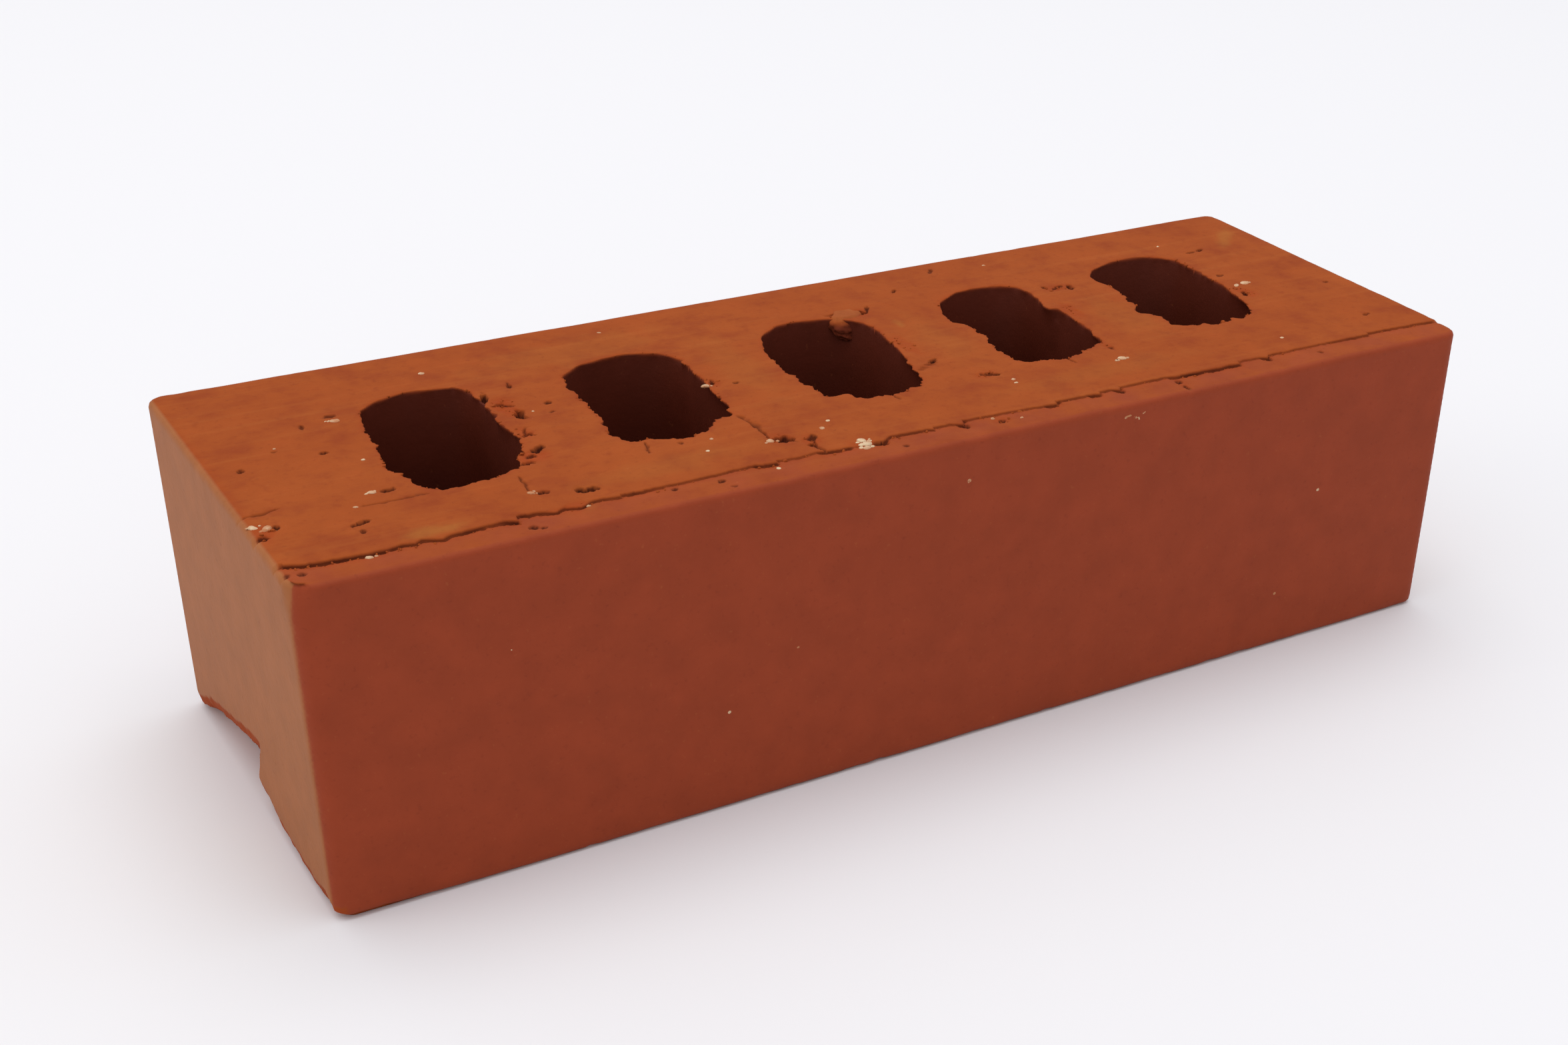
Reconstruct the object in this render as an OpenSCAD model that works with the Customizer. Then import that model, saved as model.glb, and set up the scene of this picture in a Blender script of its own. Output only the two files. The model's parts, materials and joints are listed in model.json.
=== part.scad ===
// Perforated clay brick: an extruded column of clay, cut to height by a wire and fired.
// It lies on its bed face, and its perforations run straight through from bed to bed.
// Origin: middle of the lower bed face. X runs along the length, Y across the width, Z up.

/* [Brick] */
// Length along the stretcher faces
brick_l = 290; // [230:5:390]
// Width across the header faces
brick_w = 100; // [80:1:140]
// Height between the two bed faces
brick_h = 76; // [40:1:120]

/* [Perforations] */
// Number of perforations in the row
hole_count = 5; // [1:1:5]
// Size of a perforation along the brick
hole_l = 28.5; // [15:0.5:36]
// Size of a perforation across the brick
hole_w = 48.5; // [20:0.5:64]
// Corner radius of a perforation
hole_r = 12; // [1:0.5:30]
// How far the row of perforations lies off the middle line
hole_shift = 1.5; // [-4:0.5:4]

/* [Edges] */
// Radius of the four upright edges, shaped by the mouth of the extrusion die
upright_r = 3.5; // [0.5:0.5:8]
// Radius of the edges round the two bed faces, softened after the wire cut
bed_r = 1.5; // [0.5:0.5:4]

/* [Hidden] */
$fn = 64;
clay = "#a9532e";
// Every perforation has the same share of the length, and so has each end web
hole_pitch = brick_l / (hole_count + 1);
// The corner radius is limited by the shorter side of the perforation
corner_r = min(hole_r, hole_l / 2 - 0.1, hole_w / 2 - 0.1);
// The perforation cutters run this far past both bed faces
overrun = 1;

// A rectangle centred on the origin, with its four corners rounded
module rounded_rect(x, y, r) {
    union() {
        square([x - 2 * r, y], center = true);
        square([x, y - 2 * r], center = true);
        for (sx = [-1, 1], sy = [-1, 1])
            translate([sx * (x / 2 - r), sy * (y / 2 - r)]) circle(r);
    }
}

// The solid block: its plan, its side view and its end view, each extruded, meet in it
module block() {
    intersection() {
        linear_extrude(brick_h)
            rounded_rect(brick_l, brick_w, upright_r);
        translate([0, brick_w / 2, brick_h / 2]) rotate([90, 0, 0])
            linear_extrude(brick_w) rounded_rect(brick_l, brick_h, bed_r);
        translate([-brick_l / 2, 0, brick_h / 2]) rotate([90, 0, 90])
            linear_extrude(brick_l) rounded_rect(brick_w, brick_h, bed_r);
    }
}

// One perforation, running past both bed faces
module perforation() {
    translate([0, 0, -overrun]) linear_extrude(brick_h + 2 * overrun)
        rounded_rect(hole_l, hole_w, corner_r);
}

module brick() {
    color(clay) difference() {
        block();
        for (i = [1 : hole_count])
            translate([i * hole_pitch - brick_l / 2, hole_shift, 0]) perforation();
    }
}

brick();
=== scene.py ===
import json
import math
import random

import bmesh
import bpy
import numpy as np
from mathutils import Euler, Matrix, Vector
from mathutils.geometry import delaunay_2d_cdt


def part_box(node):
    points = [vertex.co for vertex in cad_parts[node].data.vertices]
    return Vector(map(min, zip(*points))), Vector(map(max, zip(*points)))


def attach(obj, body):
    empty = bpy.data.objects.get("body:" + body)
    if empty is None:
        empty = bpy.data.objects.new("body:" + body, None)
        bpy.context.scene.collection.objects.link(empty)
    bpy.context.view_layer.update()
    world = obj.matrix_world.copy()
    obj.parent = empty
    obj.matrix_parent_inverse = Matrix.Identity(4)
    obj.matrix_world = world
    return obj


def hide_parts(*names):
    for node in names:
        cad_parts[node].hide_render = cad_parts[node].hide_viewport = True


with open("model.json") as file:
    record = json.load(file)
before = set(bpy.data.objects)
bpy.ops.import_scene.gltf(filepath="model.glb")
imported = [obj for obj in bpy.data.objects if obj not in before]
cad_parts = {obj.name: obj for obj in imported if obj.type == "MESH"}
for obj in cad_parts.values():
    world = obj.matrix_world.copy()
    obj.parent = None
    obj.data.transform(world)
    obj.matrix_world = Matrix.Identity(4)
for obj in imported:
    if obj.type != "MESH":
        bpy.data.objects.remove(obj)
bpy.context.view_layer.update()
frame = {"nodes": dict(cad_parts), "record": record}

# ---------------------------------------------------------------------------------------
# Clay body
# One extruded column of red clay, cut to height by a wire and fired. The die leaves the four
# sides and the perforation walls smooth and darker; the wire leaves the two bed faces raw.
# ---------------------------------------------------------------------------------------

MM = 0.001
low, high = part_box("brick")
LENGTH, WIDTH, HEIGHT = ((high - low) / MM)
UPRIGHT_RADIUS = 3.5                # the upright edges, shaped by the die
BED_RADIUS = 1.5                    # the edges round the bed faces
CUT_DEPTH = 0.20                    # how far the cut face lies under its highest burr
RIM_WITHIN = 26.0                   # all of a perforation's rim lies this near its middle, in mm

# The perforations' middles come from the openings that the frame states, and their size
# from the rim of the first one.
PERFORATIONS = [((corners[0][0] + corners[1][0]) / 2 / MM, (corners[0][1] + corners[1][1]) / 2 / MM)
                for corners in (opening["box_m"] for opening in frame["record"]["physics"]["openings"])]
body_points = np.array([vertex.co for vertex in frame["nodes"]["brick"].data.vertices]) / MM
first_rim = body_points[(np.abs(body_points[:, 2] - HEIGHT) < 0.01)
                        & (np.hypot(*(body_points[:, :2] - PERFORATIONS[0]).T) < RIM_WITHIN)]
SLOT_LENGTH, SLOT_WIDTH = np.ptp(first_rim[:, 0]), np.ptp(first_rim[:, 1])
SLOT_RADIUS = 12.0


NOISE_SPAN = 1.7                    # brings the noise to a span of about -1 to 1


def clay_noise(points, grain, seed):
    """A smooth random field from about -1 to 1, with lumps about `grain` mm across. Large odd
    numbers scatter the corners of its cells, and each corner gets a slope of its own."""
    cell = points / grain
    base = np.floor(cell).astype(np.int64)
    part = cell - base
    ease = part ** 3 * (part * (part * 6 - 15) + 10)
    total = np.zeros(len(points))
    for corner in np.ndindex(2, 2, 2):
        node = base + corner
        key = node[:, 0] * 73856093 ^ node[:, 1] * 19349663 ^ node[:, 2] * 83492791 ^ seed * 2654435761
        key = (key ^ (key >> 13)) * 1274126177 & 0xFFFFFFFF
        key = (key ^ (key >> 15)) * 2246822519 & 0xFFFFFFFF
        key ^= key >> 13
        around = (key & 0xFFFF) / 65536 * 2 * math.pi
        up = (key >> 16 & 0xFFFF) / 65536 * 2 - 1
        flat = np.sqrt(1 - up * up)
        offset = part - corner
        slope = flat * np.cos(around) * offset[:, 0] + flat * np.sin(around) * offset[:, 1]
        slope += up * offset[:, 2]
        weight = np.prod(np.where(corner, ease, 1 - ease), axis=1)
        total += weight * slope
    return total * NOISE_SPAN


def layered_noise(points, grain, seed, layers):
    """Clay noise with finer and weaker layers on top of it, each half as big as the last."""
    return sum(clay_noise(points, grain / 2 ** k, seed + k) / 2 ** k for k in range(layers))


def in_space(plan, depth=0.0):
    """Plan points as points in space, so that the noise can read them."""
    return np.column_stack([plan, np.broadcast_to(depth, len(plan))])


def ramp(value, start, end):
    """Rises smoothly from 0 at `start` to 1 at `end`, or falls where `end` is the smaller."""
    t = np.clip((value - start) / (end - start), 0, 1)
    return t * t * (3 - 2 * t)


def read_off(at, run, values):
    """Values in two columns, known at each `run`, read off at the places `at` between."""
    return np.column_stack([np.interp(at, run, values[:, k]) for k in (0, 1)])


def read_round(at, run, total, values):
    """The same round a closed loop, whose last stretch leads back to its start."""
    return read_off(at, np.append(run, total), np.vstack([values, values[:1]]))


CORNER_POINTS = 40                  # points round one corner, before they are spaced out
OUTLINE_STEP = 0.05                 # steps in which an outline is measured, in mm


def rounded_outline(size_x, size_y, radius, spacing):
    """Points, normals and running length round a rounded rectangle, anticlockwise.
    `spacing` gives the wanted distance between points for an array of places."""
    turns = np.linspace(0, math.pi / 2, CORNER_POINTS)
    corners = ((1, 1), (-1, 1), (-1, -1), (1, -1))
    angles = np.concatenate([quarter * math.pi / 2 + turns for quarter in range(4)])
    normals = np.column_stack([np.cos(angles), np.sin(angles)])
    middles = [(cx * (size_x / 2 - radius), cy * (size_y / 2 - radius)) for cx, cy in corners]
    points = np.repeat(middles, CORNER_POINTS, axis=0) + radius * normals
    points, normals = np.vstack([points, points[:1]]), np.vstack([normals, normals[:1]])
    run = np.concatenate([[0], np.cumsum(np.hypot(*np.diff(points, axis=0).T))])
    fine = np.linspace(0, run[-1], int(run[-1] / OUTLINE_STEP))
    crowd = np.concatenate([[0], np.cumsum(np.diff(fine) / spacing(read_off(fine, run, points)[1:]))])
    count = int(round(crowd[-1]))
    chosen = np.interp(np.arange(count) * crowd[-1] / count, crowd, fine)
    points, normals = read_off(chosen, run, points), read_off(chosen, run, normals)
    return points, normals / np.linalg.norm(normals, axis=1, keepdims=True), chosen, run[-1]


def slot_distance(plan, middle):
    """Distance of plan points from a perforation's die outline, and the way out of it."""
    offset = plan - middle
    reach = np.abs(offset) - (SLOT_LENGTH / 2 - SLOT_RADIUS, SLOT_WIDTH / 2 - SLOT_RADIUS)
    past = np.maximum(reach, 0)
    length = np.hypot(*past.T)
    inner = reach.max(axis=1)
    side = np.eye(2)[reach.argmax(axis=1)]
    outward = np.where((length > 1e-9)[:, None], past / np.maximum(length, 1e-9)[:, None], side)
    outward = outward * np.where(offset < 0, -1.0, 1.0)
    return np.where(length > 0, length, np.minimum(inner, 0)) - SLOT_RADIUS, outward


# The torn rim of each perforation in the upper face: the places, in mm from its middle, where
# the rim turns. The wire dragged flaps of clay over some sides and tore others back.
TORN_RIMS = (
    ((14.0, -2.8), (13.0, 0.5), (13.9, 5.5), (14.4, 14.0), (14.0, 19.7), (12.8, 23.4), (10.3, 24.8),
     (1.5, 26.5), (-6.0, 24.5), (-10.6, 20.5), (-12.6, 11.3), (-13.5, 0.5), (-15.1, -10.3), (-12.6, -16.2),
     (-13.1, -20.3), (-8.5, -24.3), (1.5, -23.9), (8.2, -20.8), (12.8, -12.8), (14.4, -7.8)),
    ((12.9, -2.8), (13.7, 3.8), (14.8, 15.5), (13.7, 19.7), (11.6, 23.0), (4.1, 25.7), (-6.7, 24.3),
     (-13.0, 19.5), (-15.0, 11.8), (-14.0, 8.8), (-15.0, 2.2), (-14.6, -3.7), (-16.9, -15.3),
     (-15.5, -19.5), (-10.0, -21.0), (-3.0, -23.9), (1.6, -22.8), (5.0, -19.5), (11.0, -16.2),
     (12.0, -11.2)),
    ((14.3, -1.2), (15.7, 7.2), (16.3, 13.8), (16.0, 17.5), (14.5, 20.5), (11.5, 23.5), (7.5, 25.1),
     (0.0, 26.3), (-4.2, 25.7), (-10.4, 21.3), (-13.8, 13.0), (-15.8, 0.5), (-14.5, -4.1), (-15.8, -7.0),
     (-14.3, -11.5), (-15.4, -17.4), (-9.2, -18.5), (-7.5, -22.8), (0.0, -23.3), (5.0, -22.0), (8.8, -20.3),
     (11.3, -14.5), (11.0, -12.0), (12.9, -6.2)),
    ((14.6, -3.7), (15.5, 3.0), (15.5, 5.5), (13.2, 5.9), (13.0, 8.0), (14.6, 13.0), (15.5, 19.7),
     (14.2, 23.0), (11.7, 25.5), (3.4, 26.8), (-1.6, 26.3), (-8.7, 22.2), (-12.3, 14.7), (-13.1, 9.7),
     (-11.6, 6.8), (-10.8, 2.2), (-11.0, -2.4), (-14.1, -10.8), (-12.9, -13.7), (-13.3, -17.4),
     (-10.8, -20.3), (-0.8, -23.3), (5.9, -20.3), (11.7, -18.0), (14.2, -9.5)),
    ((15.0, 0.5), (15.4, 8.8), (15.8, 20.5), (13.3, 24.7), (10.0, 27.2), (5.0, 28.2), (0.0, 28.2),
     (-9.2, 24.7), (-12.1, 21.3), (-12.9, 16.3), (-11.3, 13.8), (-12.4, 8.8), (-14.6, -1.2), (-15.9, -6.2),
     (-12.9, -11.2), (-14.6, -15.8), (-9.2, -19.1), (-5.4, -18.3), (-5.4, -21.3), (0.8, -20.3),
     (2.5, -18.7), (3.3, -21.5), (10.0, -17.8), (12.5, -9.5)))


TURN_STEPS = 12                     # places read between two turns of a torn rim
RIM_ANGLE_STEP = 1.5                # degrees between the places where its reach is evened


def rim_reach(rim, number):
    """How far the torn rim stands out from points on the die's outline, and the way it does."""
    offset = rim - PERFORATIONS[number]
    angle = np.arctan2(offset[:, 1], offset[:, 0])
    corners = np.array(TORN_RIMS[number])
    steps = np.linspace(0, 1, TURN_STEPS, endpoint=False)[None, :, None]
    edge = corners[:, None] * (1 - steps) + np.roll(corners, -1, axis=0)[:, None] * steps
    edge = edge.reshape(-1, 2)
    edge_angle = np.arctan2(edge[:, 1], edge[:, 0])
    order = np.argsort(edge_angle)
    around = np.radians(np.arange(-180, 180, RIM_ANGLE_STEP))
    reach = np.interp(around, edge_angle[order], np.hypot(*edge[order].T), period=2 * math.pi)
    for _ in range(2):
        reach = 0.25 * np.roll(reach, 1) + 0.5 * reach + 0.25 * np.roll(reach, -1)
    reach = np.interp(angle, around, reach, period=2 * math.pi)
    die = np.hypot(*offset.T)
    return reach - die, offset / die[:, None]


def rim_teeth(rim, number, upper):
    """Fine teeth of a torn rim: ragged at the front and left, where the wire left the clay."""
    offset = rim - PERFORATIONS[number]
    angle = np.degrees(np.arctan2(offset[:, 1], offset[:, 0])) % 360
    place = in_space(rim, 40.0 * number + (0 if upper else 500))
    steps = np.round(layered_noise(place, 4.6, 15, 2) * 3) / 3
    ragged = 0.2 + 0.8 * ramp(angle, 120, 155) * ramp(angle, 350, 310)
    ragged += 0.5 * ramp(np.abs(angle - 30), 40, 15)
    if number == 0:
        ragged = np.maximum(ragged, 1.2 * ramp(np.abs((angle + 175) % 360 - 180), 75, 50))
    teeth = 0.7 * layered_noise(place, 2.2, 11, 3) + 0.5 * steps + 0.35 * clay_noise(place, 0.9, 17)
    return ragged * teeth


# The wire smeared a skin of clay over the front of the cut face. The skin ends in a torn lip
# along these places in mm, and the strip in front of it lies lower and slopes away.
LAP_LINE = (
    (-145, -39.8), (-143, -40.2), (-139, -41.8), (-133, -42.3), (-124, -42.7), (-121, -42.0),
    (-118.5, -42.8), (-117, -41.9), (-113.5, -43.3), (-111.5, -42.5), (-104, -41.9), (-100, -41.6),
    (-97.8, -42.9), (-97.5, -40.7), (-93, -41.0), (-90, -42.4), (-87.5, -41.2), (-84.5, -42.5),
    (-82, -41.2), (-79, -41.0), (-75.8, -42.0), (-75.5, -41.3), (-62, -41.4), (-45, -40.9), (-40.5, -42.0),
    (-40.2, -41.0), (-35, -41.6), (-31, -40.9), (-29.5, -41.6), (-23, -42.1), (-16, -42.9), (-13, -41.0),
    (-4, -41.5), (-2.6, -42.2), (-2.4, -41.2), (2, -41.3), (4.8, -43.2), (5.2, -41.2), (9, -41.0),
    (20, -41.6), (29.3, -42.6), (29.8, -41.4), (38, -41.6), (41.3, -42.5), (41.8, -41.4), (45, -41.5),
    (46.9, -42.8), (47.4, -41.2), (60, -41.1), (62, -41.9), (71, -41.9), (81.5, -42.4), (82, -41.1),
    (88, -41.4), (90, -42.4), (91, -41.2), (109, -41.3), (122, -41.7), (122.5, -40.9), (136, -41.5),
    (145, -42.2))
# Stretches where the lip stands open and throws the deepest shadow: x from, x to, strength
LAP_GAPS = ((-144, -124, 1.0), (-124, -104, 0.75), (-104, -97, 0.9), (-97, -83, 0.8), (-83, -66, 0.6),
            (-66, -46, 0.35), (-46, -40, 0.9), (-40, -31, 0.3), (-31, -23, 0.75), (-18, -14, 0.9),
            (-14, -2, 0.55), (-2, 3, 0.4), (3, 6, 1.0), (6, 26, 0.3), (26, 31, 0.85), (31, 38, 0.4),
            (38, 42, 0.8), (42, 45, 0.4), (45, 48, 0.85), (48, 61, 0.35), (61, 82, 0.9), (82, 88, 0.25),
            (88, 91, 0.85), (91, 109, 0.3), (109, 145, 0.45))
GAP_EASE = 0.8                      # over how many mm a stretch opens or closes
GAP_DEPTH = 0.70                    # how deep the open gap under the lip is
GAP_WIDTH = 0.30                    # half the width of that gap
GAP_AHEAD = 0.26                    # how far in front of the lip its middle lies
LAP_STEP = 0.36                     # how far the strip in front lies under the lip
STRIP_FALL = 0.22                   # how much further it falls towards the front
LAP_SETBACK = 8.0                   # how far in front of the lip that fall ends


def lap_line(x):
    """Where the smeared skin ends, as y for each x, with fine jags on the torn lip."""
    place = np.column_stack([x, np.zeros_like(x), np.zeros_like(x)])
    jag = 0.14 * np.round(clay_noise(place, 3.5, 23) * 2) + 0.16 * layered_noise(place, 1.6, 24, 2)
    return np.interp(x, *np.transpose(LAP_LINE)) + jag


# Pits in the upper bed face: x, y, length, width, turn in degrees, depth, all in mm
PITS = ((-113.6, 22.2, 2.6, 1.6, 0, 0.5), (-120.5, 19.5, 2.6, 0.8, 85, 0.5),
        (-120.6, 4.6, 1.7, 1.4, 0, 0.9), (-137.8, 3.3, 2.2, 1.2, 80, 0.8), (-129.5, 9.5, 1.3, 0.9, 0, 0.4),
        (-115.2, -18.4, 3.6, 1.6, 8, 1.0), (-124.5, -30.0, 4.0, 1.4, 18, 1.0),
        (-125.5, -33.8, 1.6, 1.1, 90, 0.6), (-139.3, -24.6, 2.2, 1.2, 80, 1.0),
        (-143.0, -27.8, 2.6, 2.2, 0, 1.0), (-88.6, -33.4, 2.9, 1.6, -10, 1.1),
        (-80.5, -36.2, 5.2, 2.2, -6, 1.5), (-96.0, -46.4, 2.0, 1.5, -30, 0.8),
        (-94.3, -47.2, 1.5, 0.9, 0, 0.5), (-143.6, -44.2, 2.0, 1.2, 50, 0.7),
        (-140.8, -44.8, 1.6, 1.2, -30, 0.7), (-81.3, 16.8, 5.0, 1.6, 72, 2.2),
        (-77.8, 5.0, 5.4, 2.2, 78, 2.6), (-79.0, 11.5, 3.6, 1.6, -40, 1.0),
        (-73.9, 21.2, 3.0, 1.0, 80, 0.9), (-70.0, 8.4, 2.0, 1.4, 70, 0.9), (-71.2, 3.4, 1.2, 1.0, 0, 0.4),
        (-80.4, -5.2, 3.4, 1.0, 20, 0.8), (-86.2, -18.7, 4.4, 1.3, 8, 1.6),
        (-81.4, -13.2, 3.8, 1.9, 40, 1.4), (-84.0, -15.8, 3.0, 1.2, 30, 0.9),
        (-28.5, 0.1, 1.6, 1.0, 0, 0.5), (-33.2, 3.0, 2.8, 1.1, 70, 1.2), (-33.9, -32.1, 4.2, 3.2, -25, 2.2),
        (-28.2, -34.2, 3.4, 1.8, 40, 0.9), (-29.8, -37.5, 1.7, 1.5, 0, 1.2),
        (-54.0, -23.8, 1.4, 1.2, 90, 0.7), (-64.7, -43.5, 1.5, 1.0, 20, 0.7),
        (-54.8, -44.4, 1.7, 1.2, 30, 0.8), (-53.3, -47.3, 1.3, 0.8, 0, 0.4),
        (-16.2, -43.2, 3.4, 1.2, -20, 1.2), (17.6, -8.9, 4.0, 1.3, 36, 1.5),
        (25.0, -21.2, 4.6, 1.8, -25, 0.6), (26.7, -22.3, 1.5, 1.4, 0, 1.0), (33.6, 35.4, 2.6, 1.1, 55, 0.9),
        (49.4, 43.8, 3.6, 1.0, 50, 0.5), (13.4, -44.7, 2.6, 1.4, 25, 1.2), (-12.2, -46.4, 1.3, 0.9, 0, 0.5),
        (16.0, 27.2, 6.5, 1.6, -8, 1.3), (19.0, 25.9, 2.6, 1.6, 30, 1.8), (21.2, 27.6, 3.0, 0.9, 55, 0.8),
        (72.2, 19.4, 4.4, 1.4, 20, 0.6), (75.0, 18.0, 3.2, 1.6, 80, 1.3), (69.0, 20.6, 2.0, 1.3, 90, 0.6),
        (122.6, 26.1, 2.4, 1.3, 20, 1.0), (119.6, 25.6, 3.0, 0.9, 0, 0.4), (115.2, 8.0, 2.0, 1.5, 0, 0.4),
        (112.9, -5.2, 4.0, 1.4, 65, 1.2), (62.1, -44.4, 2.2, 1.4, 80, 1.0),
        (62.0, -47.3, 2.4, 0.9, 80, 0.6), (59.9, -21.0, 2.4, 1.0, 80, 0.5),
        (90.1, -43.0, 1.8, 1.1, 60, 0.9), (4.9, -43.4, 1.9, 1.2, 80, 1.0), (46.9, -43.0, 1.8, 1.1, 80, 0.8),
        (131.0, -31.0, 2.2, 1.1, 20, 0.7), (137.5, -8.0, 1.4, 1.0, 0, 0.5),
        (104.0, -45.2, 1.6, 1.0, 0, 0.6))
# Fine cracks and scratches: a list of places in mm, then width and depth
CRACKS = ((((-122.0, -23.0), (-115.0, -23.3), (-107.5, -23.4)), 0.40, 0.35),
          (((-143.5, -17.4), (-140.0, -17.8), (-137.0, -16.8)), 0.50, 0.5),
          (((-90.0, -24.0), (-90.4, -28.0), (-91.0, -31.4)), 0.40, 0.5),
          (((-37.0, -17.0), (-36.2, -21.0), (-36.0, -24.5), (-36.4, -30.0)), 0.55, 1.0),
          (((-28.6, -36.0), (-29.6, -38.5), (-29.0, -41.5)), 0.50, 0.8),
          (((-60.6, -20.5), (-61.2, -23.0), (-62.0, -26.0)), 0.40, 0.5),
          (((11.6, -12.2), (14.0, -11.0), (16.4, -9.8)), 0.50, 0.8),
          (((-0.8, -22.0), (-0.9, -24.6)), 0.40, 0.5),
          (((46.8, -21.5), (47.0, -25.0)), 0.40, 0.4),
          (((10.0, 27.4), (13.5, 28.0), (17.0, 27.4), (20.0, 26.4)), 0.50, 1.2),
          (((-79.6, -2.0), (-80.8, -4.6), (-79.0, -6.4)), 0.50, 0.7))
# Patches where the wire tore the face: x, y, half length, half width, strength from 0 to 1
TORN_PATCHES = ((-79.3, 10.5, 2.8, 6.5, 1.0), (-80.8, -4.5, 1.8, 3.4, 0.8), (-84.0, -16.0, 4.6, 3.2, 1.0),
                (-29.0, -35.5, 2.6, 3.4, 0.8), (-34.5, -31.5, 3.2, 3.0, 0.6), (15.5, 26.0, 5.5, 2.6, 0.9),
                (17.2, 3.0, 2.4, 8.0, 0.7), (24.5, -21.0, 3.4, 2.0, 0.6), (65.8, 4.0, 2.2, 7.0, 0.7),
                (72.0, 19.0, 4.0, 2.4, 0.7), (60.0, -19.5, 1.6, 2.6, 0.6), (113.6, -4.5, 2.4, 4.6, 0.9),
                (-20.0, -42.0, 3.4, 3.4, 0.8), (-142.0, -25.5, 2.6, 4.6, 0.9),
                (-86.0, -41.8, 5.0, 1.4, 0.9), (13.5, -44.2, 2.8, 1.6, 0.7), (62.0, -45.5, 1.4, 2.6, 0.6),
                (-33.4, 2.5, 1.6, 3.4, 0.8), (-143.6, 0.0, 1.4, 30.0, 0.35))
# Thin ochre patches painted on the cut face: x, y, half length, half width, turn, strength
OCHRE_PATCHES = ((-114.0, -39.6, 7.0, 2.6, 0, 0.9), (136.0, 32.0, 11.0, 2.2, 48, 0.8),
          (23.0, 15.5, 3.0, 1.0, 80, 0.9), (-82.5, -42.6, 2.4, 1.0, 30, 0.8),
          (-55.0, 33.0, 26.0, 9.0, 4, 0.30), (76.0, -6.0, 9.0, 16.0, 0, 0.28),
          (27.0, 2.0, 6.0, 20.0, 0, 0.25), (-24.0, 8.0, 6.0, 24.0, 0, 0.25),
          (-60.0, -33.0, 22.0, 5.0, 3, 0.28), (50.0, -32.0, 30.0, 5.0, 2, 0.25))


def crack_distance(plan, places):
    """Distance of plan points from a crack, and how far along it they lie, from 0 to 1."""
    nearest = np.full(len(plan), 1e9)
    along = np.zeros(len(plan))
    for step, (start, end) in enumerate(zip(places[:-1], places[1:])):
        start, way = np.array(start), np.subtract(end, start)
        t = np.clip((plan - start) @ way / (way @ way), 0, 1)
        away = np.hypot(*(plan - start - t[:, None] * way).T)
        along = np.where(away < nearest, (step + t) / (len(places) - 1), along)
        nearest = np.minimum(nearest, away)
    return nearest, along


def turned(offset, degrees):
    """Offsets in the axes of something that is turned by some degrees."""
    c, s = math.cos(math.radians(degrees)), math.sin(math.radians(degrees))
    return offset @ (c, s), offset @ (-s, c)


def cut_face(plan):
    """Height of the upper bed face over its own level, with how torn it is, how much painted shade
    its pits, cracks and lip gap get, and how far behind the smeared skin's lip."""
    place = in_space(plan)
    along = in_space(plan * (1, 0))
    # Broad swells, shorter ones, and fine lines that the wire drew along the face
    height = 0.08 * clay_noise(place, 38, 31) + 0.05 * clay_noise(place, 9, 32)
    height += 0.03 * clay_noise(place * (0.06, 1, 1), 1.5, 33)
    # Torn patches, and torn clay along the lip where it stands open
    torn = np.zeros(len(plan))
    hollow_shade = np.zeros(len(plan))
    for x, y, half_length, half_width, strength in TORN_PATCHES:
        away = np.hypot((plan[:, 0] - x) / half_length, (plan[:, 1] - y) / half_width)
        away += 0.35 * clay_noise(place, 3.0, 34)
        torn = np.maximum(torn, strength * ramp(away, 1.15, 0.55))
    lap = plan[:, 1] - lap_line(plan[:, 0])
    gap = np.zeros(len(plan))
    for start, end, strength in LAP_GAPS:
        opened = ramp(plan[:, 0], start - GAP_EASE, start + GAP_EASE)
        closed = ramp(plan[:, 0], end + GAP_EASE, end - GAP_EASE)
        gap = np.maximum(gap, strength * opened * closed)
    torn = np.maximum(torn, (0.3 + 0.6 * gap) * ramp(np.abs(lap + 0.8), 1.15, 0.4))
    coarse, fine = layered_noise(place, 2.6, 35, 3), layered_noise(place, 1.1, 36, 2)
    height -= torn * (0.30 * np.abs(coarse) + 0.22 * np.abs(fine) + 0.06)
    # The lower strip in front of the lip, and the gap that frays in and out under it
    front = ramp(lap, 0.10, -0.14)
    height -= front * (LAP_STEP * (0.45 + 0.7 * gap) + STRIP_FALL * ramp(lap, 0, -LAP_SETBACK))
    frayed = np.clip(gap * (0.85 + 0.5 * clay_noise(along, 5, 38)), 0, 1)
    open_gap = np.exp(-((lap + GAP_AHEAD) / GAP_WIDTH) ** 2)
    height -= GAP_DEPTH * frayed * open_gap
    # The gap under the lip is painted dark as painted shade
    hollow_shade = np.maximum(hollow_shade, (0.15 + 0.75 * frayed) * ramp(open_gap, 0.12, 0.5))
    # Pits with ragged walls, and cracks that narrow towards their ends, both painted dark inside as painted
    # shade
    for x, y, length, width, turn, depth in PITS:
        offset = plan - (x, y)
        near = np.hypot(*offset.T) < length + width
        if not near.any():
            continue
        u, v = turned(offset[near], turn)
        away = np.hypot(u / (length / 2), v / (width / 2)) + 0.45 * layered_noise(place[near], 1.5, 41, 2)
        pit = ramp(away, 1.2, 0.45)
        height[near] -= depth * pit
        hollow_shade[near] = np.maximum(hollow_shade[near], ramp(away, 1.12, 0.85) * min(1.0, 0.5 + 0.4 * depth))
    for places, width, depth in CRACKS:
        away, along_crack = crack_distance(plan + 0.35 * clay_noise(place, 1.8, 43)[:, None], places)
        open_here = ramp(away, width * (1.15 - 0.6 * np.abs(2 * along_crack - 1)), 0.1)
        height -= depth * open_here
        hollow_shade = np.maximum(hollow_shade, open_here * min(1.0, 0.4 + 0.5 * depth))
    return height, torn, hollow_shade, lap


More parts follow.
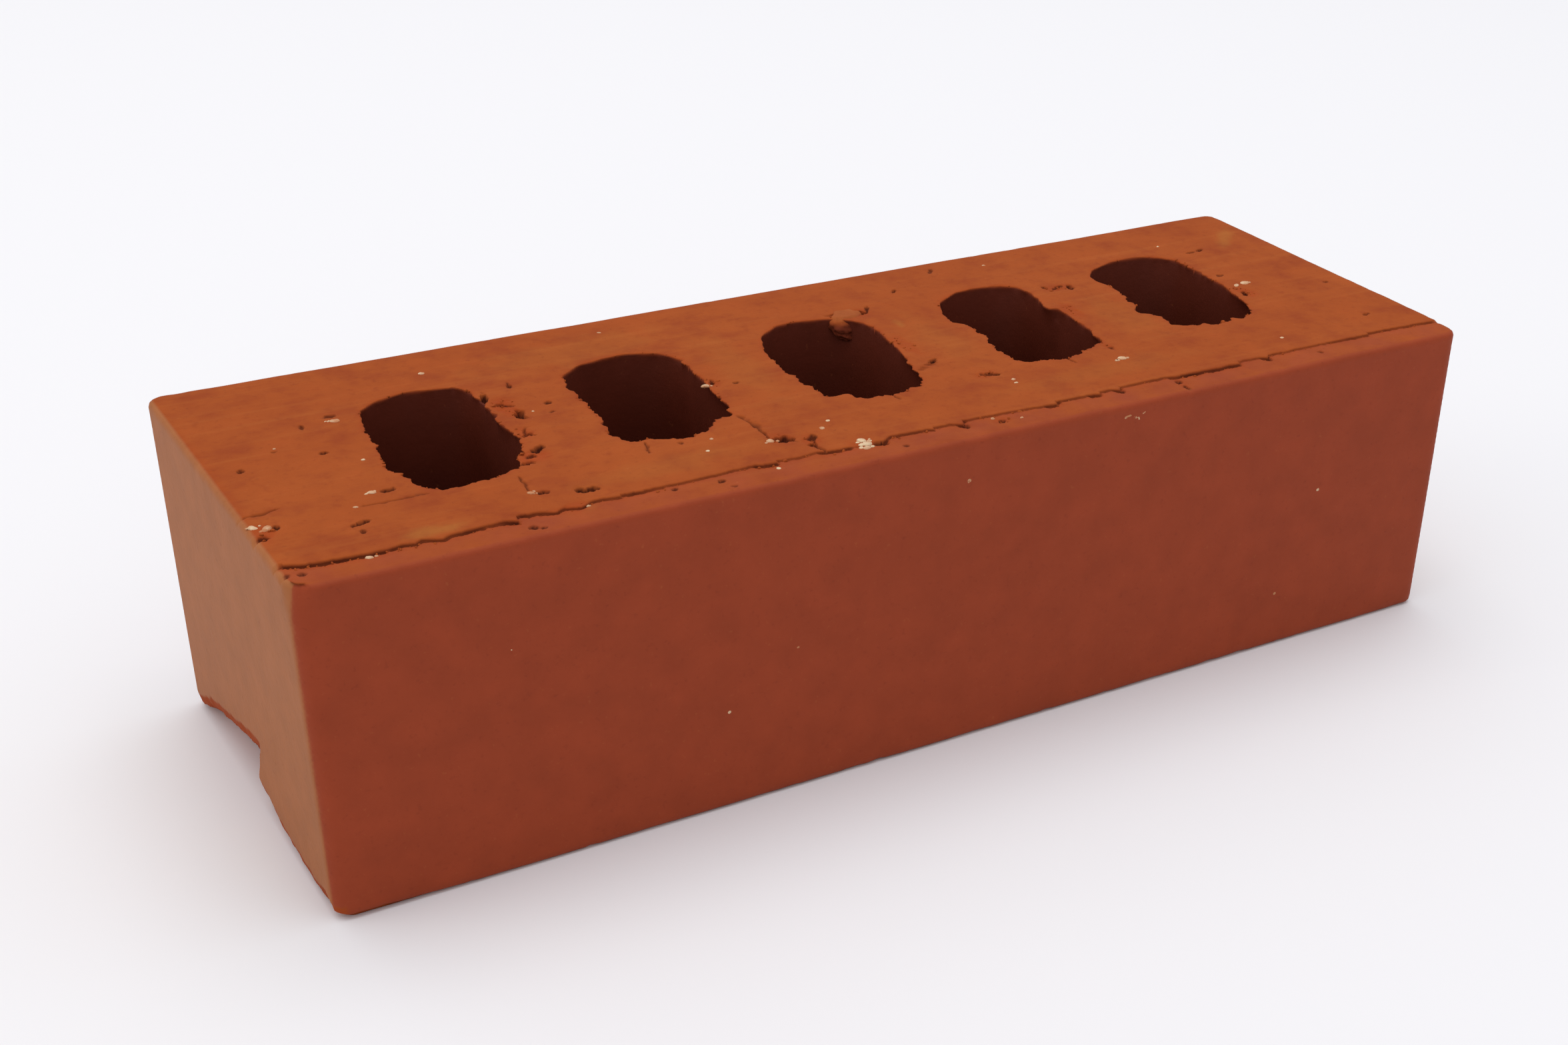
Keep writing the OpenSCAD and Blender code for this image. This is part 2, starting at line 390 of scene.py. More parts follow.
def ochre_patches(plan):
    """How strongly the ochre patches colour the cut face."""
    strength = np.zeros(len(plan))
    for x, y, half_length, half_width, turn, full in OCHRE_PATCHES:
        u, v = turned(plan - (x, y), turn)
        away = np.hypot(u / half_length, v / half_width) + 0.4 * layered_noise(in_space(plan), 6.0, 45, 3)
        strength = np.maximum(strength, full * ramp(away, 1.2, 0.3))
    return strength


# The broken foot of the left end: y, how high it is broken there, and how deep it is at the
# foot behind the bevel that starts the break, all in mm
FOOT_BREAK = ((-50.0, 4.0, 0.4), (-44.0, 5.2, 0.8), (-39.0, 4.0, 0.2), (-24.0, 4.6, 0.2), (-14.0, 5.2, 0.8),
              (-8.0, 7.2, 1.6), (0.0, 9.0, 2.1), (50.0, 4.0, 1.0))
# A shell of clay broke off behind that, with a front edge that leans forward as it rises
SHELL_BREAK = ((-6.0, 20.0, 6.0), (6.6, 16.8, 6.3), (20.0, 13.5, 6.0), (34.0, 9.5, 5.0), (46.0, 4.0, 2.0),
               (50.0, 2.0, 0.5))
BEVEL_HEIGHT = 3.0                  # how far down the bevel runs from the top of the break
BEVEL_SLOPE = 0.24                  # how deep it goes for each mm of that


def torn_foot(y, z):
    """How deep the lower edge of the left end is broken away at a height z, in mm."""
    place = np.column_stack([y, z, np.zeros_like(y)])
    ragged = layered_noise(place, 5.0, 51, 3)
    depth = np.zeros(len(y))
    in_shell = ramp(y + 0.5 * ragged + 0.54 * (z - 5.9), -0.4, 1.0)
    for table, share in ((FOOT_BREAK, 1.0), (SHELL_BREAK, in_shell)):
        middles, heights, depths = np.transpose(table)
        tall = np.interp(y + 0.6 * ragged, middles, heights) + 0.7 * ragged
        below = np.clip(tall - z, 0, None)
        under = np.clip(below - BEVEL_HEIGHT, 0, None) / np.maximum(tall - BEVEL_HEIGHT, 0.5)
        here = BEVEL_SLOPE * np.minimum(below, BEVEL_HEIGHT)
        here = here + np.interp(y, middles, depths) * np.minimum(under, 1) ** 0.7
        depth = np.maximum(depth, share * here)
    return depth * (1 + 0.12 * layered_noise(place, 2.4, 52, 2))


# What is painted on the clay's points, from 0 to 1, for its material to read. The dark paints
# of the perforation walls and of the hollows are painted shade, and the pale paint of the ends is painted
# sheen
PAINTS = ("die_skin", "torn", "hollow_shade", "bore_shade", "ochre", "pale_sheen")


class Shell:
    """Collects the patches of one closed mesh: points, how they are painted, and triangles."""

    def __init__(self):
        self.points = []
        self.paint = []
        self.faces = []
        self.count = 0

    def add(self, points, **paint):
        """Adds points in mm with their paints, and returns their numbers."""
        numbers = np.arange(self.count, self.count + len(points))
        self.points.append(np.asarray(points, float))
        columns = [np.broadcast_to(paint.get(name, 0.0), len(points)) for name in PAINTS]
        self.paint.append(np.column_stack(columns))
        self.count += len(points)
        return numbers

    def fill(self, flat, numbers, loops, keep, flip):
        """Triangulates flat points between closed loops and keeps the faces that `keep` allows.
        `flip` turns the faces over."""
        edges = [(int(a), int(b)) for loop in loops for a, b in zip(loop, np.roll(loop, -1))]
        _, _, triangles, origins, _, _ = delaunay_2d_cdt([Vector(p) for p in flat], edges, [], 0, 1e-7)
        source = np.array([origin[0] if origin else -1 for origin in origins])
        faces = source[np.array(triangles)]
        faces = faces[(faces >= 0).all(axis=1)]
        faces = faces[keep(flat[faces].mean(axis=1))]
        faces = numbers[faces]
        distinct = (faces != np.roll(faces, 1, axis=1)).all(axis=1)
        faces = faces[distinct]
        self.faces.append(faces[:, ::-1] if flip else faces)


def hex_grid(low_x, high_x, low_y, high_y, pitch, shaker):
    """Plan points about `pitch` apart, shaken so that no rows show."""
    rows = np.arange(low_y + pitch / 2, high_y, pitch * 0.87)
    cols = np.arange(low_x + pitch / 2, high_x, pitch)
    x, y = np.meshgrid(cols, rows)
    x = x + (np.arange(len(rows)) % 2)[:, None] * pitch / 2
    grid = np.column_stack([x.ravel(), y.ravel()])
    return grid + shaker.uniform(-0.18, 0.18, grid.shape) * pitch


THIN_CELL = 0.22                    # two points in one such cell are thinned to one, in mm


def thinned(plan):
    """Flat points with at most one in each small cell."""
    cells = np.round(plan / THIN_CELL).astype(int)
    return plan[np.unique(cells, axis=0, return_index=True)[1]]


def away_from_slots(plan):
    """Distance of plan points from the nearest perforation's die outline."""
    return np.min([slot_distance(plan, middle)[0] for middle in PERFORATIONS], axis=0)


def inside_block(plan, margin):
    """Whether plan points lie inside the block's plan, by at least `margin`."""
    corner = np.maximum(np.abs(plan) - (LENGTH / 2 - UPRIGHT_RADIUS, WIDTH / 2 - UPRIGHT_RADIUS), 0)
    return np.hypot(*corner.T) < UPRIGHT_RADIUS - margin


shaker = np.random.default_rng(7)
shell = Shell()

# The outline of the sides, with points closer together round the broken left end
SIDE_SPACING, LEFT_SPACING, SLOT_SPACING = 1.1, 0.5, 0.33
LEFT_REACH = 4.0                    # how far from the left end the points are close, in mm
outer, outward, outer_run, outer_length = rounded_outline(
    LENGTH, WIDTH, UPRIGHT_RADIUS,
    lambda p: np.where(p[:, 0] < -LENGTH / 2 + LEFT_REACH, LEFT_SPACING, SIDE_SPACING))
# The outline of a perforation, as the die made it
slot, slot_out, slot_run, slot_length = rounded_outline(
    SLOT_LENGTH, SLOT_WIDTH, SLOT_RADIUS, lambda p: np.full(len(p), SLOT_SPACING))

RIM_BLEND = 8.5                     # how far a moved rim drags the face round it, in mm


def place_on_cut(plan, upper):
    """Final points of a bed face from its die-true plan, with their paints."""
    moved = plan.copy()
    rim_fall = np.zeros(len(plan))
    torn_rim = np.zeros(len(plan))
    for number, middle in enumerate(PERFORATIONS):
        distance, away = slot_distance(plan, middle)
        near = distance < RIM_BLEND
        rim = plan[near] - distance[near, None] * away[near]
        d = np.maximum(distance[near], 0)
        teeth = rim_teeth(rim, number, upper) * np.exp(-d / 1.4)
        moved[near] += away[near] * teeth[:, None]
        if upper:
            reach, way = rim_reach(rim, number)
            moved[near] += way * (reach * ramp(d, RIM_BLEND, 0))[:, None]
        ragged = clay_noise(in_space(rim, 40.0 * number), 5, 61)
        rim_fall[near] += (0.16 + 0.16 * ragged) * np.exp(-d / 0.5)
        frayed = (0.45 + 0.4 * ragged) * ramp(d, 1.3 + 0.8 * ragged, 0.1)
        torn_rim[near] = np.maximum(torn_rim[near], frayed)
    if upper:
        height, torn, hollow_shade, lap = cut_face(moved)
        moved[:, 1] -= 0.22 * np.exp(-((lap - 0.1) / 0.25) ** 2)
        ochre = ochre_patches(moved)
        scraped = ramp(lap, 0.2, -0.6) * (0.36 + 0.3 * clay_noise(in_space(moved), 7, 39))
    else:
        place = in_space(moved, 90.0)
        height = 0.12 * clay_noise(place, 30, 71) + 0.05 * clay_noise(place, 5, 72)
        torn = np.clip(0.9 * clay_noise(place, 16, 73) - 0.25, 0, 0.6)
        height -= torn * 0.5 * np.abs(layered_noise(place, 2.2, 74, 2))
        hollow_shade, ochre, scraped = 0.0, 0.0, 0.0
    height -= rim_fall
    z = HEIGHT - CUT_DEPTH + height if upper else 0.12 - height
    torn = np.maximum(torn, torn_rim)
    paint = {"torn": torn, "hollow_shade": hollow_shade, "ochre": ochre, "die_skin": scraped}
    return np.column_stack([moved, z]), paint


UPPER_PITCH, LOWER_PITCH = 1.45, 3.6            # between the points of the two bed faces, in mm
SPOT_PITCH, LIP_PITCH = 0.42, 0.36              # the same in pits and tears, and along the lip
UPPER_RINGS = (0.28, 0.6, 1.0, 1.5, 2.2, 3.1)   # rings of points round a perforation
LOWER_RINGS = (0.7, 1.8)
LIP_ROWS = (-1.5, -0.9, -0.52, -0.26, 0.0, 0.26, 0.6, 1.2)
CRACK_ROWS = (-0.7, -0.35, 0, 0.35, 0.7)


def bed_points(upper):
    """The die-true plan points of a bed face, and the numbers of those in its outer loop and
    its rim loops. The loops come first, then the points between them."""
    loops = [outer - BED_RADIUS * outward] + [slot + middle for middle in PERFORATIONS]
    ends = np.cumsum([len(loop) for loop in loops])
    numbers = np.split(np.arange(ends[-1]), ends[:-1])
    exact = list(loops)                 # these points are never thinned
    extra = []
    for middle in PERFORATIONS:
        for k, distance in enumerate(UPPER_RINGS if upper else LOWER_RINGS):
            every = 1 if distance < 1.2 else 2
            extra.append((slot + distance * slot_out + middle)[k % every::every])
    pitch = UPPER_PITCH if upper else LOWER_PITCH
    grid = hex_grid(-LENGTH / 2, LENGTH / 2, -WIDTH / 2, WIDTH / 2, pitch, shaker)
    clear = away_from_slots(grid) > (3.9 if upper else 3.4)
    grid = grid[clear & inside_block(grid, BED_RADIUS + 0.45 * pitch)]
    if upper:
        along = np.arange(-LENGTH / 2 + 2, LENGTH / 2 - 2, LIP_PITCH)
        band = []
        for k, row in enumerate(LIP_ROWS):
            place = along + LIP_PITCH / 2 * (k % 2)
            band.append(np.column_stack([place, lap_line(place) + row]))
        band = np.concatenate(band)
        grid = grid[np.abs(grid[:, 1] - lap_line(grid[:, 0])) > 2.1]
        spots = []
        for x, y, length, width, turn, depth in PITS:
            margin = 1.7 if away_from_slots(np.array([[x, y]], float))[0] < 7 else 0.8
            spots.append((x, y, length / 2 + margin, width / 2 + margin, math.radians(turn)))
        for x, y, half_length, half_width, strength in TORN_PATCHES:
            if strength > 0.5:
                spots.append((x, y, half_length, half_width, 0.0))
        dense = []
        for x, y, a, b, turn in spots:
            spot = hex_grid(-a, a, -b, b, SPOT_PITCH, shaker)
            spot = spot[np.hypot(spot[:, 0] / a, spot[:, 1] / b) < 1]
            c, s = math.cos(turn), math.sin(turn)
            dense.append(spot @ ((c, s), (-s, c)) + (x, y))
        for places, width, depth in CRACKS:
            for start, end in zip(places[:-1], places[1:]):
                steps = int(math.dist(start, end) / 0.3)
                line = np.linspace(start, end, steps)
                side = np.array((start[1] - end[1], end[0] - start[0])) / math.dist(start, end)
                dense += [line + shift * side for shift in CRACK_ROWS]
        dense = np.concatenate(dense)
        dense = dense[(away_from_slots(dense) > 0.5) & inside_block(dense, BED_RADIUS + 0.4)]
        dense = dense[np.abs(dense[:, 1] - lap_line(dense[:, 0])) > 1.7]
        extra.append(dense)
        exact.append(band[inside_block(band, BED_RADIUS + 0.4)])
    return np.concatenate(exact + [thinned(np.concatenate(extra + [grid]))]), numbers


FOOT_BLEND = 16.0                   # how far in the broken foot drags the lower bed face, in mm


def build_bed(upper):
    """Adds one bed face to the shell, and returns the numbers of its outer and rim loops."""
    plan, loops = bed_points(upper)
    points, paint = place_on_cut(plan, upper)
    if not upper:
        edge = plan[:, 0] + LENGTH / 2
        broken = torn_foot(plan[:, 1], np.zeros(len(plan)))
        points[:, 0] += broken * np.clip(1 - (edge - BED_RADIUS) / FOOT_BLEND, 0, 1)
        paint["torn"] = np.maximum(paint["torn"], ramp(broken, 0.3, 1.0) * ramp(edge, 12, 4))
    numbers = shell.add(points, **paint)
    shell.fill(plan, numbers, loops, lambda centres: away_from_slots(centres) > 0, flip=not upper)
    return [numbers[loop] for loop in loops]


upper_loops = build_bed(True)
lower_loops = build_bed(False)


def strip_points(run, total, rows, pitch, fine_zones):
    """Points between the two long edges of an unrolled strip: `rows` follow the edges, and a
    loose grid fills the middle, with finer grids in the zones given."""
    extra = []
    for k, (height, every) in enumerate(rows):
        chosen = run[k % every::every]
        extra.append(np.column_stack([chosen, np.full(len(chosen), height)]))
    heights = [height for height, _ in rows]
    lower = max([h for h in heights if h < heights[-1] / 2], default=0)
    upper = min([h for h in heights if h > heights[-1] / 2], default=heights[-1])
    grid = hex_grid(0, total, lower + pitch * 0.3, upper - pitch * 0.1, pitch, shaker)
    for low_run, high_run, low_height, high_height, fine in fine_zones:
        inside = ((grid[:, 0] > low_run) & (grid[:, 0] < high_run)
                  & (grid[:, 1] > low_height) & (grid[:, 1] < high_height))
        finer = hex_grid(low_run, high_run, low_height, high_height, fine, shaker)
        grid = np.concatenate([grid[~inside], finer])
    grid = grid[(grid[:, 0] > pitch * 0.4) & (grid[:, 0] < total - pitch * 0.4)]
    crowd = np.concatenate(extra + [grid])
    return thinned(crowd[(crowd[:, 0] > 0.05) & (crowd[:, 0] < total - 0.05)])


def build_strip(run, total, height, rows, pitch, fine_zones, top_numbers, bottom_numbers, place, flip):
    """Adds a strip that is wound once round and joins a top loop to a bottom loop. `place`
    gives final points and paints for flat points. Both sides of the seam share their points."""
    seam_rows = np.arange(pitch, height - pitch * 0.5, pitch)
    top = np.column_stack([np.append(run, total), np.full(len(run) + 1, height)])
    bottom = np.column_stack([np.append(run, total), np.zeros(len(run) + 1)])
    left = np.column_stack([np.zeros(len(seam_rows)), seam_rows])
    right = left + (total, 0)
    middle = strip_points(run, total, rows, pitch, fine_zones)
    points, paint = place(np.concatenate([left, middle]))
    numbers = shell.add(points, **paint)
    seam, inner = numbers[:len(left)], numbers[len(left):]
    flat = np.concatenate([top, bottom, left, right, middle])
    every = np.concatenate([top_numbers, top_numbers[:1], bottom_numbers, bottom_numbers[:1],
                            seam, seam, inner])
    n, m = len(top), len(left)
    ring = np.concatenate([np.arange(n, 2 * n), 2 * n + m + np.arange(m),
                           np.arange(n)[::-1], 2 * n + np.arange(m)[::-1]])
    shell.fill(flat, every, [ring], lambda centres: np.ones(len(centres), bool), flip)


# The skin of the four sides is unrolled along its outline and up its height. At both ends
# it turns in over the edge of a bed face.
EDGE_TURN = BED_RADIUS * math.pi / 2
SKIN_HEIGHT = HEIGHT - 2 * BED_RADIUS + 2 * EDGE_TURN


def front_corner_lift(plan):
    """The lower front edge is rounder towards the left corner, so it lifts off the floor."""
    front = ramp(plan[:, 1], -WIDTH / 2 + 5, -WIDTH / 2 + 1)
    return 0.75 * front * ramp(plan[:, 0], -LENGTH / 2 + 34, -LENGTH / 2 + 4)


def place_on_skin(flat):
    """Final points of the side skin, and their paints."""
    run, up = flat.T
    # The skin turns in over the edges of both bed faces
    base = read_round(run, outer_run, outer_length, outer)
    way = read_round(run, outer_run, outer_length, outward)
    way /= np.linalg.norm(way, axis=1, keepdims=True)
    from_top, from_foot = (SKIN_HEIGHT - up) / EDGE_TURN, up / EDGE_TURN
    turn_top = np.clip(from_top, 0, 1) * math.pi / 2
    turn_foot = np.clip(from_foot, 0, 1) * math.pi / 2
    inset = BED_RADIUS * ((1 - np.sin(turn_top)) + (1 - np.sin(turn_foot)))
    z = np.clip(up - EDGE_TURN + BED_RADIUS, BED_RADIUS, HEIGHT - BED_RADIUS)
    z = np.where(from_top < 1, HEIGHT - BED_RADIUS * (1 - np.cos(turn_top)), z)
    z = np.where(from_foot < 1, BED_RADIUS * (1 - np.cos(turn_foot)), z)
    plan = base - inset[:, None] * way
    place = np.column_stack([plan, z])
    # It sags a little, with faint upright lines from the die, and its edges are nicked
    sag = 0.10 + 0.08 * clay_noise(place, 45, 81) + 0.03 * clay_noise(place * (1, 1, 0.15), 5, 82)
    near_edges = 0.5 * np.exp(-(HEIGHT - z) / 1.2) + np.exp(-z / 1.4)
    nicks = np.clip(clay_noise(place, 3.2, 83) - 0.35, 0, 1) * near_edges
    plan = plan - (np.clip(sag, 0, 1) + 0.9 * nicks)[:, None] * way
    # Its upper edge follows the cut face, and its foot lifts off the floor here and there
    height, torn = cut_face(base - BED_RADIUS * way)[:2]
    z = z + (height - CUT_DEPTH) * np.exp(-(HEIGHT - z) / 2.2)
    lift = 0.12 + 0.25 * np.clip(clay_noise(place, 13, 84), 0, 1) + front_corner_lift(base)
    z = z + lift * np.exp(-z / 2.5)
    # The upper front left corner is worn round, and the foot of the left end is broken away
    corner = np.hypot(base[:, 0] + LENGTH / 2 - 1, base[:, 1] + WIDTH / 2 - 1)
    rounded_off = 1.3 * ramp(corner, 4.5, 1.0) * np.exp(-((HEIGHT - z) / 5.0) ** 2)
    plan = plan - rounded_off[:, None] * way
    left = ramp(base[:, 0], -LENGTH / 2 + UPRIGHT_RADIUS, -LENGTH / 2 + 0.8)
    broken = torn_foot(base[:, 1], z) * left
    plan = plan + broken[:, None] * (1, 0)
    whole = 1 - ramp(broken, 0.03, 0.22)
    torn_skin = np.maximum(1 - whole, 0.7 * torn * ramp(SKIN_HEIGHT - up, 1.4, 0.2))
    torn_skin = np.maximum(torn_skin, 0.8 * ramp(nicks, 0.1, 0.4))
    skin = ramp(SKIN_HEIGHT - up, 0.35, 0.95) * ramp(up, 0.5, 1.3) * whole
    # The ends are painted paler and pinker as painted sheen, fully on the left end and less on the right
    pale_sheen = whole * ramp(np.abs(base[:, 0]), LENGTH / 2 - 0.45, LENGTH / 2 - 0.08)
    pale_sheen = pale_sheen * np.where(base[:, 0] < 0, 1, 0.6)
    return np.column_stack([plan, z]), {"die_skin": skin, "torn": torn_skin, "pale_sheen": pale_sheen}


# The upright edges take finer points, and the foot of the left end the finest
SKIN_PITCH, UPRIGHT_PITCH, FOOT_PITCH = 3.2, 0.85, 0.55
FOOT_TOP = 22.0                     # how high the finest points reach up the left end, in mm
turn_run = UPRIGHT_RADIUS * math.pi / 2
long_run, short_run = LENGTH - 2 * UPRIGHT_RADIUS, WIDTH - 2 * UPRIGHT_RADIUS
upright_zones = [(start - 1.5, start + turn_run + 1.5, 4.0, SKIN_HEIGHT - 4.0, UPRIGHT_PITCH)
                 for start in (0, turn_run + long_run, 2 * turn_run + long_run + short_run,
                               3 * turn_run + 2 * long_run + short_run)]
left_zone = np.abs(outer[:, 0] + LENGTH / 2) < 1.0
left_run = outer_run[left_zone]
foot_zone = (left_run.min() - 1, left_run.max() + 1, 0.6, FOOT_TOP, FOOT_PITCH)
build_strip(
    outer_run, outer_length, SKIN_HEIGHT,
    rows=((0.5, 1), (1.1, 1), (1.9, 1), (3.0, 2), (SKIN_HEIGHT - 4.6, 2), (SKIN_HEIGHT - 3.2, 1),
          (SKIN_HEIGHT - 2.3, 1), (SKIN_HEIGHT - 1.5, 1), (SKIN_HEIGHT - 0.75, 1)),
    pitch=SKIN_PITCH, fine_zones=upright_zones + [foot_zone],
    top_numbers=upper_loops[0], bottom_numbers=lower_loops[0], place=place_on_skin, flip=False)


WALL_PITCH = 2.4
TORN_DEPTH, FLAP_DEPTH = 16.0, 2.2  # how far down a wall is torn back, and a flap hangs, in mm


def place_on_wall(number):
    """Returns the function that places the wall of one perforation."""
    middle = PERFORATIONS[number]

    def place(flat):
        run, up = flat.T
        rim = read_round(run, slot_run, slot_length, slot) + middle
        way = slot_distance(rim, middle)[1]
        below, above = HEIGHT - up, up
        reach, direction = rim_reach(rim, number)
        depth_of_tear = np.where(reach > 0, TORN_DEPTH, FLAP_DEPTH)
        reach = reach * np.exp(-(below / depth_of_tear) ** 1.3)
        teeth = rim_teeth(rim, number, True) * np.exp(-below / 0.8)
        teeth += rim_teeth(rim, number, False) * np.exp(-above / 0.8)
        where = np.column_stack([rim, up])
        torn = ramp(below, 0.6 + 0.4 * clay_noise(where, 5, 91), 0.05)
        torn = np.maximum(torn, 0.8 * ramp(above, 2.0, 0.4))
        drawn = 0.10 * clay_noise(where * (1, 1, 0.12), 4, 92)
        teeth += drawn + 0.15 * torn * layered_noise(where, 1.8, 93, 2)
        plan = rim + teeth[:, None] * way + reach[:, None] * direction
        z = 0.3 + (HEIGHT - CUT_DEPTH - 0.5) * up / HEIGHT
        # The walls are painted dark all the way down as painted shade, less so at the torn top and foot
        return np.column_stack([plan, z]), {"die_skin": 1.0, "torn": 0.6 * torn, "bore_shade": 1 - 0.6 * torn}

    return place


for number in range(len(PERFORATIONS)):
    build_strip(
        slot_run, slot_length, HEIGHT,
        rows=((0.5, 2), (1.6, 2), (HEIGHT - 3.2, 2), (HEIGHT - 2.2, 2), (HEIGHT - 1.45, 1),
              (HEIGHT - 0.85, 1), (HEIGHT - 0.4, 1)),
        pitch=WALL_PITCH, fine_zones=(), top_numbers=upper_loops[1 + number],
        bottom_numbers=lower_loops[1 + number], place=place_on_wall(number), flip=True)


def finish_mesh(name, points, faces, paint):
    """Makes one smooth-shaded object from points in mm, triangles and painted attributes."""
    mesh = bpy.data.meshes.new(name)
    mesh.vertices.add(len(points))
    mesh.vertices.foreach_set("co", (points * MM).astype(np.float32).ravel())
    mesh.loops.add(len(faces) * 3)
    mesh.loops.foreach_set("vertex_index", faces.ravel().astype(np.int32))
    mesh.polygons.add(len(faces))
    mesh.polygons.foreach_set("loop_start", np.arange(0, len(faces) * 3, 3, dtype=np.int32))
    mesh.polygons.foreach_set("use_smooth", np.ones(len(faces), bool))
    mesh.update(calc_edges=True)
    mesh.validate()
    for label, values in paint.items():
        layer = mesh.attributes.new(label, "FLOAT", "POINT")
        layer.data.foreach_set("value", values.astype(np.float32))
    piece = bpy.data.objects.new(name, mesh)
    bpy.context.scene.collection.objects.link(piece)
    return piece


clay_points = np.clip(np.concatenate(shell.points), np.array(low) / MM, np.array(high) / MM)
clay_paint = dict(zip(PAINTS, np.concatenate(shell.paint).T))
clay_body = finish_mesh("clay_body", clay_points, np.concatenate(shell.faces), clay_paint)


def linear(hex_colour):
    """The linear colour of an sRGB hex value."""
    channels = [int(hex_colour[k:k + 2], 16) / 255 for k in (1, 3, 5)]
    return tuple(c / 12.92 if c <= 0.04045 else ((c + 0.055) / 1.055) ** 2.4 for c in channels) + (1.0,)


def add_node(tree, kind, settings=None, **inputs):
    """Adds a node with its settings. Each input takes a value, or a node or socket to link; its
    name is written with _ for a space, or as _ and its number."""
    node = tree.nodes.new(kind)
    for key, value in (settings or {}).items():
        setattr(node, key, value)
    for key, value in inputs.items():
        socket = node.inputs[int(key[1:]) if key[0] == "_" else key.replace("_", " ")]
        if isinstance(value, bpy.types.Node):
            value = next(output for output in value.outputs if output.enabled)
        if isinstance(value, bpy.types.NodeSocket):
            tree.links.new(value, socket)
        else:
            socket.default_value = value
    return node


# Fired red clay, extruded, wire-cut and unglazed. The cut face is an open, matt orange biscuit
# with drawn-out streaks; the die skin is denser, redder and darker, and shines dully at a
# slant. The perforations' walls are painted dark as painted shade; pits, cracks and the gap
# under the lip are painted dark as painted shade too, and the ends paler and pinker as painted sheen.
CUT_CLAY, DIE_SKIN, PALE_SHEEN = linear("#9c491d"), linear("#963e21"), linear("#a5683c")
BORE_SHADE, TORN_CLAY, HOLLOW_SHADE = linear("#5e2415"), linear("#9c4119"), linear("#340d05")
CUT_ROUGHNESS, SKIN_ROUGHNESS = 0.95, 0.62

fired_clay = bpy.data.materials.new("fired_red_clay")
fired_clay.use_nodes = True
clay = fired_clay.node_tree
clay.nodes.clear()
on_object = add_node(clay, "ShaderNodeTexCoord").outputs["Object"]

# The clay's unevenness: the size of its lumps in mm, how much they are squeezed along x, where
# the wire drew them out, and their detail. A lump and the gap beside it make one noise cell.
grains = {}
for name, size, squeeze, detail in (
        ("cloud", 17.0, 1.0, 4.0), ("blotch", 4.0, 1.0, 3.0), ("mottle", 1.3, 1.0, 3.0),
        ("speck", 0.6, 1.0, 2.0), ("drag", 1.5, 0.05, 3.0), ("grit", 0.28, 1.0, 2.0)):
    stretched = add_node(clay, "ShaderNodeMapping", Vector=on_object, Scale=(squeeze, 1.0, 1.0))
    grains[name] = add_node(clay, "ShaderNodeTexNoise", Vector=stretched, Scale=1 / (2 * size * MM),
                            Detail=detail, Roughness=0.55)
for name in PAINTS:
    grains[name] = add_node(clay, "ShaderNodeAttribute", {"attribute_name": name}).outputs["Fac"]

# Each layer of colour lies over the last: what places it, where it starts and is full, its
# strength and its colour
colour = CUT_CLAY
for source, start, full, strength, layer in (
        ("cloud", 0.42, 0.72, 0.55, linear("#a55222")), ("blotch", 0.50, 0.76, 0.55, linear("#943c1d")),
        ("drag", 0.54, 0.74, 0.40, linear("#a75726")), ("mottle", 0.55, 0.75, 0.35, linear("#883818")),
        ("ochre", 0.0, 1.0, 0.60, linear("#a4652c")),
        # The ends' pale paint is painted sheen, and the dark paints of the walls and hollows are painted
        # shade
        ("die_skin", 0.0, 1.0, 1.0, DIE_SKIN), ("pale_sheen", 0.0, 1.0, 0.85, PALE_SHEEN),
        ("bore_shade", 0.0, 1.0, 1.0, BORE_SHADE), ("torn", 0.0, 1.0, 0.75, TORN_CLAY),
        ("speck", 0.62, 0.78, 0.22, linear("#642414")), ("speck", 0.32, 0.22, 0.16, linear("#b5683a")),
        ("hollow_shade", 0.0, 1.0, 0.93, HOLLOW_SHADE)):
    amount = add_node(clay, "ShaderNodeMapRange", Value=grains[source], From_Min=start, From_Max=full,
                      To_Max=strength)
    colour = add_node(clay, "ShaderNodeMix", {"data_type": "RGBA"}, _0=amount, _6=colour, _7=layer)
# The whole is faintly uneven, lighter and darker in lumps of a few mm
shade = add_node(clay, "ShaderNodeMapRange", Value=grains["blotch"], From_Min=0.3, From_Max=0.7,
                 To_Min=1.06, To_Max=0.93)
colour = add_node(clay, "ShaderNodeVectorMath", {"operation": "SCALE"}, _0=colour, Scale=shade)

rough = add_node(clay, "ShaderNodeMapRange", Value=grains["die_skin"], To_Min=CUT_ROUGHNESS,
                 To_Max=SKIN_ROUGHNESS)
# The finer lumps stand up as a relief too shallow to be modelled
relief = 0.5
for source, height in (("grit", 0.25), ("speck", 0.4), ("mottle", 0.5), ("drag", 0.35)):
    relief = add_node(clay, "ShaderNodeMath", {"operation": "MULTIPLY_ADD"}, _0=grains[source],
                      _1=height, _2=relief)
bump = add_node(clay, "ShaderNodeBump", Strength=0.5, Distance=0.25 * MM, Height=relief)
surface = add_node(clay, "ShaderNodeBsdfPrincipled", IOR=1.5, Specular_IOR_Level=0.15, Base_Color=colour,
                   Roughness=rough, Normal=bump)
add_node(clay, "ShaderNodeOutputMaterial", Surface=surface)
clay_body.data.materials.append(fired_clay)

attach(clay_body, "root")
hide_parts("brick")

# ---------------------------------------------------------------------------------------
# Lime grains
# Pale grains of lime in the clay. The wire dragged the larger ones up through the cut face,
# where they stand half out of it, and a few small ones show flush in the front skin.
# ---------------------------------------------------------------------------------------

